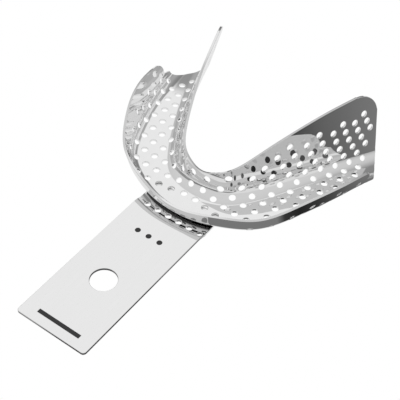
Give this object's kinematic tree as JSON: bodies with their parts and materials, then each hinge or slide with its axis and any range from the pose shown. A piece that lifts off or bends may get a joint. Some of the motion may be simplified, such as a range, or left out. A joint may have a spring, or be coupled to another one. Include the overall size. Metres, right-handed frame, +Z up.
{
  "type": "dental impression tray",
  "caption": "Perforated sheet-steel impression tray for the lower jaw: a U-shaped trough with tall inner wings and a flat handle strip spot-welded under its floor.",
  "frame": {"origin": "centre of the round hole in the handle, on the handle's upper face", "axes": "+Y from the handle towards the open rear of the arch, +Z up out of the trough (through the handle's hole), +X to the right when seen from the handle's end"},
  "size_m": [0.0726, 0.1069, 0.0215],
  "materials": {
    "tray_shell": "mirror-polished stainless steel",
    "handle_plate": "polished stainless steel",
    "weld_nuggets": "fused steel"
  },
  "bodies": {
    "root": {"tray_shell": "tray_shell", "handle_plate": "handle_plate", "weld_nuggets": "weld_nuggets"}
  },
  "joints": []
}
